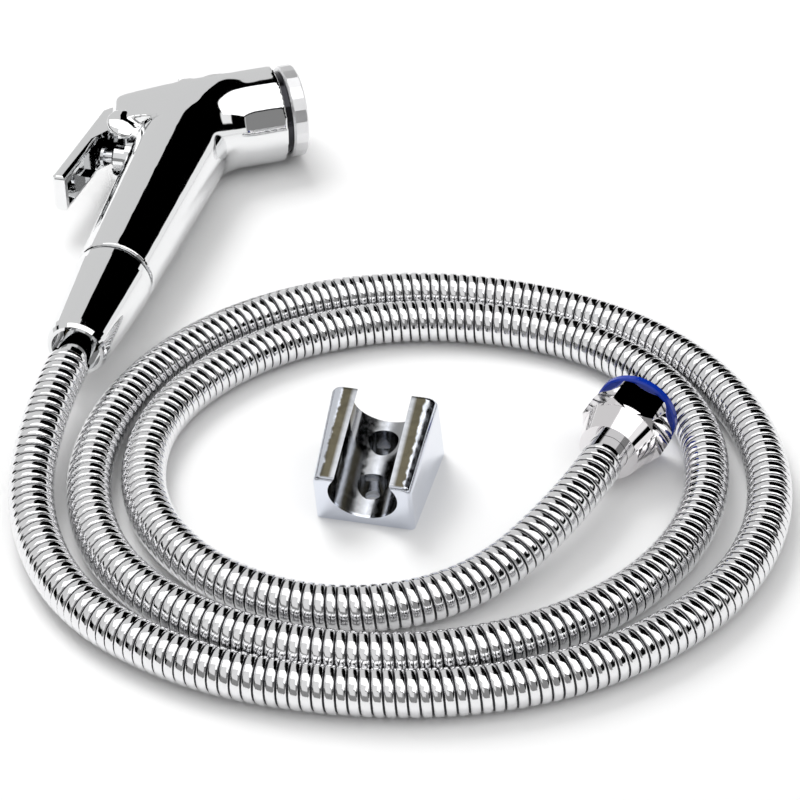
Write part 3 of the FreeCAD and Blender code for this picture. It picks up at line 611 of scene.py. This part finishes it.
class Sums:
    """Arithmetic in a node tree."""

    def __init__(self, tree):
        self.tree = tree

    def do(self, kind, first, second=0.0, clamp=False):
        """One operation, on sockets or numbers."""
        node = self.tree.nodes.new("ShaderNodeMath")
        node.operation = kind
        node.use_clamp = clamp
        for socket, value in zip(node.inputs, (first, second)):
            if isinstance(value, (int, float)):
                socket.default_value = value
            else:
                self.tree.links.new(value, socket)
        return node.outputs[0]

    def past(self, value, edge, soft):
        """0 below the edge and 1 above it."""
        gone = self.do("DIVIDE", self.do("SUBTRACT", value, edge), soft)
        return self.do("ADD", gone, 0.5, clamp=True)

    def within(self, value, low, high, soft):
        """1 between the two edges and 0 outside them."""
        below = self.do("SUBTRACT", 1.0, self.past(value, high, soft))
        return self.do("MULTIPLY", self.past(value, low, soft), below)

    def patch(self, across, up, area, soft):
        """1 inside an area, given as low and high across and then low and high up."""
        left, right, bottom, top = area
        return self.both(self.within(across, left, right, soft), self.within(up, bottom, top, soft))

    def both(self, first, second):
        """One mask times the other."""
        return self.do("MULTIPLY", first, second)

    def mix(self, under, over, mask):
        """The value under, with the value over laid on it by the mask."""
        return self.do("ADD", under, self.both(self.do("SUBTRACT", over, under), mask))


def make_floor():
    """Plain pale floor."""
    corners = [(-1, -1), (1, -1), (1, 1), (-1, 1)]
    places = [(x * FLOOR_SIZE, y * FLOOR_SIZE, 0.0) for x, y in corners]
    floor = mesh_object("floor", places, [(0, 1, 2, 3)], smooth=False)
    made, _ = material("floor", (0.9, 0.9, 0.9), 0.0, 0.9)
    floor.data.materials.append(made)


def make_world():
    """Studio round the object: a large softbox overhead, a dark panel behind, pale walls."""
    world = bpy.data.worlds.new("studio")
    world.use_nodes = True
    tree = world.node_tree
    sums = Sums(tree)
    place = tree.nodes.new("ShaderNodeTexCoord")
    split = tree.nodes.new("ShaderNodeSeparateXYZ")
    tree.links.new(place.outputs["Generated"], split.inputs[0])
    x, y, z = split.outputs
    round_to = sums.do("MULTIPLY", sums.do("ARCTAN2", x, y), math.degrees(1))
    height = sums.do("MULTIPLY", sums.do("ARCSINE", z), math.degrees(1))
    high = sums.do("MAXIMUM", z, 0.02)
    over_x = sums.do("DIVIDE", x, high)
    over_y = sums.do("DIVIDE", y, high)

    light = WALL_LEFT
    facing = sums.do("ABSOLUTE", round_to)
    light = sums.mix(light, WALL_RIGHT, sums.within(round_to, *RIGHT_WALL, 4.0))
    light = sums.mix(light, WALL_FRONT, sums.past(facing, FRONT_FROM, 3.0))
    band = sums.mix(CAMERA_WALL_TOP, RAISED_WALL_TOP, sums.within(round_to, *RAISED_WALL, 4.0))
    low = sums.do("SUBTRACT", 1.0, sums.past(sums.do("SUBTRACT", height, band), 0.0, 2.0))
    light = sums.mix(light, WALL_CAMERA, sums.both(low, sums.past(facing, FRONT_FROM, 2.0)))
    light = sums.mix(light, PANEL, sums.patch(round_to, height, SIDE_PANEL, 1.5))
    above = sums.do("MAXIMUM", sums.do("SUBTRACT", height, PANEL_LEANS_FROM), 0.0)
    lean = sums.do("MULTIPLY", above, PANEL_LEAN)
    from_left = sums.past(sums.do("SUBTRACT", round_to, lean), BACK_PANEL[0], 0.6)
    panel = sums.both(from_left, sums.do("SUBTRACT", 1.0, sums.past(round_to, BACK_PANEL[1], 1.0)))
    panel = sums.both(panel, sums.within(height, BACK_PANEL[2], BACK_PANEL[3], 1.0))
    light = sums.mix(light, PANEL, panel)
    light = sums.mix(light, WALL_RIGHT, sums.patch(round_to, height, WINDOW, 3.0))
    overhead = sums.past(z, OVERHEAD_FROM, 0.02)
    edge = sums.patch(over_x, over_y, DARK_EDGE, 0.02)
    light = sums.mix(light, PANEL, sums.both(edge, overhead))
    wide = sums.patch(over_x, over_y, SOFTBOX_WIDE, 0.03)
    deep = sums.patch(over_x, over_y, SOFTBOX_DEEP, 0.03)
    box = sums.both(sums.do("MAXIMUM", wide, deep), overhead)
    light = sums.mix(light, SOFTBOX, box)
    ray = tree.nodes.new("ShaderNodeLightPath")
    light = sums.mix(light, 1.0, ray.outputs["Is Camera Ray"])
    tree.links.new(light, tree.nodes["Background"].inputs["Color"])
    tree.nodes["Background"].inputs["Strength"].default_value = 1.0
    bpy.context.scene.world = world
    bpy.context.scene.view_settings.view_transform = "Standard"


def make_light():
    """Large soft lamp, upper left and behind. It isn't seen in the chrome."""
    data = bpy.data.lights.new("lamp", "AREA")
    data.shape = "RECTANGLE"
    data.size = LAMP_SIZE
    data.size_y = LAMP_SIZE
    data.energy = LAMP_POWER
    lamp = bpy.data.objects.new("lamp", data)
    lamp.location = LAMP_AT
    lamp.rotation_euler = (-Vector(LAMP_AT)).to_track_quat("-Z", "Y").to_euler()
    lamp.visible_glossy = False
    bpy.context.scene.collection.objects.link(lamp)


make_camera()
make_hose()
dress_nodes()
make_head()
make_floor()
make_world()
make_light()
